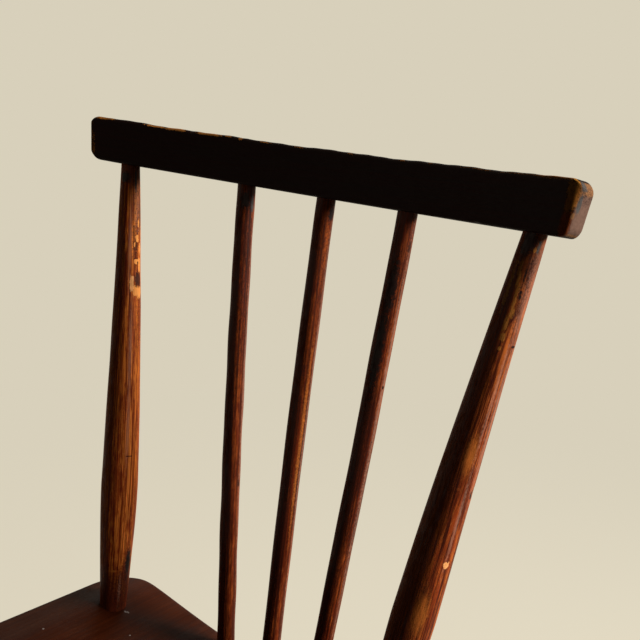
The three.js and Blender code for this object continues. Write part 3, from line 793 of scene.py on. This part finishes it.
for number, (title, foot_x) in enumerate(zip(["left", "middle", "right"], SPINDLE_FEET)):
    foot_y = SPINDLE_FOOT_CURVE * (1 - (foot_x / (POST_FOOT_SPREAD / 2)) ** 2)
    spindle_foot = np.array([foot_x, foot_y, EAR_HEIGHT - float(dish_fall(foot_x, foot_y))])
    spindle_head = crest_place((number - 1) * SPINDLE_SPACING, 0.0, 0.0)
    length = float(np.linalg.norm(spindle_head - spindle_foot))
    spots = [on_stick(spindle_girth, length, *spot, ragged=SPINDLE_RAGGED)
             for spot in spindle_spots[number]]
    finish = varnished_wood(
        f"{title} spindle varnish", pith=(0.018, -0.012 + 0.01 * number, 0), ring_width=0.0024,
        patches=spots, shift=(0.2 * number, 1.1, 0.6 * number), **spindle_wood)
    stick_points, stick_faces, stick_grain = stick_mesh(
        spindle_foot, spindle_head, spindle_girth, (SPINDLE_TENON, SPINDLE_FOOT_DEPTH),
        (SPINDLE_TENON, SPINDLE_HEAD_DEPTH), seed=71 + number, bow=(SPINDLE_BOWS[number], 0, 0),
        sides=52, stations=220, dents=SPINDLE_DENTS[number])
    add_piece(f"{title}_thin_stick", stick_points, stick_faces, stick_grain, finish,
              "spindle_varnish", f"{title}_spindle")

# Crest rail
# A board sawn on a curve, with its arrises rounded over by hand, pushed down onto the five sticks.
# Its varnish is nearly black, and is rubbed through to yellow wood along the top and the ends.
CREST_LENGTH = 0.4446
CREST_HEIGHT = 0.0352
END_SLANTS = (math.tan(math.radians(10)), math.tan(math.radians(8.5)))
SIDE_SHIFT = -0.00065
SLANT_REACH = 0.030
CREST_THICKNESS = 0.0206
ARRIS_ROUND = 0.003
TOP_CORNER = 0.0095
BOTTOM_CORNER = 0.007
LEFT_BOTTOM_CORNER = 0.0105
END_ROUND, RIGHT_END_RUB = 0.0045, 0.0060
TOP_BAND = 0.010
RIGHT_TOP_DROP = 0.0011
TOP_NICKS = [(-0.128, 0.0026, 0.0008), (-0.2085, 0.004, 0.0004), (-0.081, 0.002, 0.0004)]
UNDER_NICK = (0.1445, 0.002, 0.0007)
ALONG, UP, CORNER = 150, 16, 10  # points along an edge, up an end and round a corner


def corner_points(x, z, size, first):
    turns = [math.radians(turn) for turn in np.linspace(first, first + 90, CORNER, endpoint=False)]
    return [(x + size * math.cos(turn), z + size * math.sin(turn)) for turn in turns]


def crest_loop(inset):
    """The board's outline from the front, drawn in by inset, anticlockwise from the top right."""
    half, low, high = CREST_LENGTH / 2 - inset, inset, CREST_HEIGHT - inset
    top, bottom, left = (max(corner - inset, 0.0004)
                         for corner in (TOP_CORNER, BOTTOM_CORNER, LEFT_BOTTOM_CORNER))
    up = np.linspace(0, 1, UP, endpoint=False)
    points = [(t * (half - top), high) for t in np.linspace(1, -1, ALONG, endpoint=False)]
    points += corner_points(-half + top, high - top, top, 90)
    points += [(-half, high - top + (low + left - high + top) * t) for t in up]
    points += corner_points(-half + left, low + left, left, 180)
    points += [(x, low) for x in np.linspace(left - half, half - bottom, ALONG, endpoint=False)]
    points += corner_points(half - bottom, low + bottom, bottom, 270)
    points += [(half, low + bottom + (high - top - low - bottom) * t) for t in up]
    points += corner_points(half - top, high - top, top, 0)
    return np.array(points)


def near_top(z):
    return smooth_step(z, CREST_HEIGHT - TOP_BAND, CREST_HEIGHT)


def crest_mesh():
    half = CREST_THICKNESS / 2
    profile = [(inset, -half) for inset in np.linspace(CREST_HEIGHT / 2 - 0.0004, 0.0045, 8)]
    for t in np.radians(np.linspace(0, 90, 8)):
        profile.append((ARRIS_ROUND * (1 - math.sin(t)), -half + ARRIS_ROUND * (1 - math.cos(t))))
    profile += [(0.0, y) for y in np.linspace(-half + ARRIS_ROUND, half - ARRIS_ROUND, 10)[1:-1]]
    profile += [(inset, -y) for inset, y in reversed(profile[:16])]
    loops = []
    for inset, y in profile:
        loop = crest_loop(inset)
        loops.append(np.column_stack([loop[:, 0], np.full(len(loop), y), loop[:, 1]]))
    board = np.concatenate(loops)
    around = len(loops[0])
    count = len(loops)
    faces = ring_faces(count, around)
    end = 2 * CORNER + UP
    for start, flip in [(0, False), ((count - 1) * around, True)]:
        top = [start + k for k in range(ALONG + 1)]
        low = [start + 2 * ALONG + end - k for k in range(ALONG + 1)]
        left = [start + ALONG + k for k in range(end + 1)]
        right = [start + (2 * ALONG + end + k) % around for k in range(end + 1)]
        strip = [[top[k], top[k + 1], low[k + 1], low[k]] for k in range(ALONG)]
        strip += [left, right]
        faces += [face if flip else face[::-1] for face in strip]
    grain = board[:, [1, 2, 0]].copy()
    x, y, z = board.T
    across = CREST_LENGTH / 2 - np.abs(x)
    end_round = END_ROUND + np.where(x > 0, RIGHT_END_RUB * smooth_step(z, 0.008, 0.030), 0)
    back, deep = end_round - across, end_round - (y + half)
    reach = np.hypot(back, deep)
    inside = (back > 0) & (deep > 0) & (reach > end_round)
    pull = np.where(inside, end_round / np.maximum(reach, 1e-6), 1.0)
    x = x - np.sign(x) * np.where(inside, back - back * pull, 0)
    y = y + np.where(inside, deep - deep * pull, 0)
    worn = 0.00022 * np.sin(x * 61 + 1.0) + 0.00018 * np.sin(x * 143 + 2.0)
    worn += 0.0001 * np.sin(x * 390)
    z = z + (worn - 0.00025) * near_top(z)
    z = z - RIGHT_TOP_DROP * smooth_step(x, 0.200, 0.222) * near_top(z)
    face = smooth_step(-y, 0.004, 0.009)
    for place, reach, depth in TOP_NICKS:
        near = np.exp(-((x - place) / reach) ** 2) * smooth_step(z, 0.030, 0.034) * face
        z = z - depth * near
        y = y + depth * 0.7 * near
    place, reach, depth = UNDER_NICK
    near = np.exp(-((x - place) / reach) ** 2) * (1 - smooth_step(z, 0, 0.004)) * face
    z = z + depth * near
    slope = np.where(x < 0, -END_SLANTS[0], END_SLANTS[1])
    slanted = np.clip(1 - (CREST_LENGTH / 2 - np.abs(x)) / SLANT_REACH, 0, 1)
    x = x + slope * (z - CREST_HEIGHT) * slanted
    return crest_place(x + SIDE_SHIFT, y, z), faces, grain


FRONT, TOP, END = -CREST_THICKNESS / 2, CREST_HEIGHT, CREST_LENGTH / 2
RUB_DEPTH = 0.0008
rubbed_lengths = [
    (-0.171, -0.150, 0.0009), (-0.152, -0.133, 0.0016), (-0.1235, -0.100, 0.0013),
    (-0.096, -0.090, 0.0008), (-0.083, -0.079, 0.0015), (-0.064, -0.052, 0.0006),
    (-0.030, -0.022, 0.0005), (0.020, 0.026, 0.0005), (0.068, 0.074, 0.0006),
    (0.094, 0.098, 0.0006), (0.120, 0.150, 0.00045), (0.156, 0.190, 0.0005),
    (0.186, 0.216, 0.0007),
]
crest_patches = [
    ("bare", (FRONT + RUB_DEPTH, TOP - RUB_DEPTH, (start + stop) / 2),
     (size, size, (stop - start) / 2), 0.9)
    for start, stop, size in rubbed_lengths
]
crest_patches += [
    ("rub", (FRONT + 0.0006, 0.0075, END - 0.0040), (0.0030, 0.0080, 0.0042), 0.5),
    ("old", (FRONT + 0.0010, 0.0245, END - 0.0045), (0.0034, 0.0098, 0.0044), 0.5),
    ("straw", (FRONT + 0.0006, TOP - 0.0050, END - 0.0065), (0.0024, 0.0062, 0.0036), 0.8),
    ("old", (FRONT + 0.0012, TOP - 0.0004, END - 0.0210), (0.0018, 0.0016, 0.0160), 0.9),
    ("old", (FRONT + 0.0008, 0.0120, 0.0030 - END), (0.0011, 0.0135, 0.0034), 1.5),
    ("old", (FRONT + 0.0010, TOP - 0.0006, 0.0110 - END), (0.0014, 0.0013, 0.0110), 1.0),
    # The light grey-brown over the right end is scuffed top coat and partly a painted reflection.
    ("dull", (0.0005, 0.0135, END), (0.0092, 0.0145, 0.0030), 0.25),
    ("grey_film_and_glint", (FRONT + 0.0050, 0.0200, END), (0.0021, 0.0052, 0.0040), 0.5),
    ("tan", (0.0025, TOP - 0.0045, END), (0.0085, 0.0050, 0.0050), 0.6),
    ("grey_film_and_glint", (FRONT + 0.0066, TOP - 0.0036, END), (0.0031, 0.0038, 0.0050), 0.7),
    ("tan", (FRONT + 0.0036, 0.0265, END - 0.0010), (0.0013, 0.0052, 0.0022), 0.7),
    ("tan", (0.0010, 0.0012, END), (0.0080, 0.0012, 0.0040), 0.7),
    ("speck", (0.0010, TOP - 0.0075, END), (0.0110, 0.0075, 0.0070), 0.5),
    ("dark", (FRONT + 0.0018, 0.0158, END - 0.0030), (0.0018, 0.0010, 0.0024), 0.7),
    ("tan", (FRONT + 0.0018, 0.0128, END - 0.0014), (0.0014, 0.0018, 0.0022), 0.5),
    ("umber", (-FRONT, 0.0150, END), (0.0011, 0.0200, 0.0040), 0.4),
]
crest_finish = varnished_wood(
    "crest varnish", pith=(0.004, -0.03, 0), ring_width=0.0028,
    stained=paint(38, 14, 9), streaked=paint(22, 8, 6), coat_tint=paint(170, 140, 135),
    bare=paint(196, 128, 62), flecks=0.0, coat_left=0.85, worn_rough=0.58, coat_rough=0.55,
    gloss=0.03, coat_shine=0.015, relief=0.5, patches=crest_patches, shift=(0.5, 0.2, 0.4))
crest_points, crest_faces, crest_grain = crest_mesh()
add_piece("crest_board", crest_points, crest_faces, crest_grain, crest_finish, "crest_varnish",
          "crest_rail")

# Floor and backdrop
# A plain pale floor that keeps the chair's shadow and runs out into a backdrop of the same colour.
# Both are stage, not part of the chair, and neither throws its colour strongly on it.
BACKDROP = paint(216, 208, 187)
FLOOR_RADIUS = 14.0
FLOOR_SIDES = 96
SHADOW_REACH, OPEN_FLOOR = 0.7, 2.0
FLOOR_TONE_SEEN, FLOOR_TONE_CAST = 0.22, 0.10
ROOM_LIGHT = 0.022


def backdrop_rays(tree):
    """One for the rays that see the plain backdrop: the camera's, and those in gloss and glass."""
    rays = put(tree, "ShaderNodeLightPath").outputs
    through = maths(tree, "MAXIMUM", rays["Is Glossy Ray"], rays["Is Transmission Ray"])
    return maths(tree, "MAXIMUM", rays["Is Camera Ray"], through)


floor_mesh = bpy.data.meshes.new("floor")
floor_ring = [(FLOOR_RADIUS * math.cos(turn), FLOOR_RADIUS * math.sin(turn), 0.0)
              for turn in np.linspace(0, 2 * math.pi, FLOOR_SIDES, endpoint=False)]
floor_mesh.from_pydata(floor_ring, [], [list(range(FLOOR_SIDES))])
floor = bpy.data.objects.new("floor", floor_mesh)
bpy.context.scene.collection.objects.link(floor)

floor_material = bpy.data.materials.new("pale floor")
floor_material.use_nodes = True
tree = floor_material.node_tree
tree.nodes.clear()
seen = backdrop_rays(tree)
spot = put(tree, "ShaderNodeTexCoord").outputs["Object"]
far = between(tree, vectors(tree, "LENGTH", spot), SHADOW_REACH, OPEN_FLOOR)
glow = maths(tree, "MULTIPLY", seen, maths(tree, "MULTIPLY_ADD", far, 0.11, 0.89))
bright, dull = (tuple(part * share for part in BACKDROP[:3]) + (1.0,)
                for share in (FLOOR_TONE_SEEN, FLOOR_TONE_CAST))
floor_paint = mixed(tree, seen, dull, bright)
plain = put(tree, "ShaderNodeBsdfDiffuse", {"Color": mixed(tree, far, floor_paint, (0, 0, 0, 1))})
shine = put(tree, "ShaderNodeEmission", {"Color": BACKDROP, "Strength": glow})
both = put(tree, "ShaderNodeAddShader", {0: plain.outputs[0], 1: shine.outputs[0]})
put(tree, "ShaderNodeOutputMaterial", {"Surface": both.outputs[0]})
floor_mesh.materials.append(floor_material)

world = bpy.data.worlds.new("room")
bpy.context.scene.world = world
world.use_nodes = True
tree = world.node_tree
tree.nodes.clear()
seen = backdrop_rays(tree)
dim = put(tree, "ShaderNodeBackground", {"Color": paint(214, 210, 205), "Strength": ROOM_LIGHT})
pale = put(tree, "ShaderNodeBackground", {"Color": BACKDROP, "Strength": 1.0})
either = put(tree, "ShaderNodeMixShader", {0: seen, 1: dim.outputs[0], 2: pale.outputs[0]})
put(tree, "ShaderNodeOutputWorld", {"Surface": either.outputs[0]})

# Lamps
# One broad soft lamp to the right and a little behind, as a window would be, a small cool one
# beside it for the sky, and a weak one from the rear left.
LIT_PLACE = Vector((0, 0.05, 0.6))


def area_lamp(name, toward, distance, size, power, colour):
    lamp = bpy.data.lights.new(name, "AREA")
    lamp.shape = "RECTANGLE"
    lamp.size, lamp.size_y = size
    lamp.energy = power
    lamp.color = colour
    place = Vector(toward).normalized()
    holder = bpy.data.objects.new(name, lamp)
    holder.location = LIT_PLACE + place * distance
    holder.rotation_mode = "QUATERNION"
    holder.rotation_quaternion = place.to_track_quat("Z", "Y")
    holder.visible_camera = False
    bpy.context.scene.collection.objects.link(holder)


area_lamp("window lamp", (0.883, 0.469, 0.40), 4.0, (1.5, 1.3), 320.0, (1.0, 0.94, 0.86))
area_lamp("sky lamp", (0.70, 0.72, 0.60), 3.0, (0.5, 0.7), 12.0, (0.74, 0.86, 1.0))
area_lamp("rear lamp", (-0.57, 0.82, 0.45), 3.0, (1.4, 1.2), 8.0, (1.0, 0.97, 0.92))

# Camera
# It stands to the right of the chair's front, a little above the crest rail, and looks down at
# the back, held slightly out of level.
LENS, SENSOR_WIDTH = 59.06, 36.0
CAMERA_PLACE = (0.48623, -0.37574, 0.90184)
HEADING, DIP, ROLL = (math.radians(angle) for angle in (39.13, 15.14, 2.65))
camera_data = bpy.data.cameras.new("camera")
camera_data.lens = LENS
camera_data.sensor_width = SENSOR_WIDTH
camera = bpy.data.objects.new("camera", camera_data)
camera.matrix_world = (
    Matrix.Translation(CAMERA_PLACE) @ Matrix.Rotation(HEADING, 4, "Z")
    @ Matrix.Rotation(math.pi / 2 - DIP, 4, "X") @ Matrix.Rotation(ROLL, 4, "Z"))
bpy.context.scene.collection.objects.link(camera)
bpy.context.scene.camera = camera
bpy.context.scene.view_settings.view_transform = "Standard"
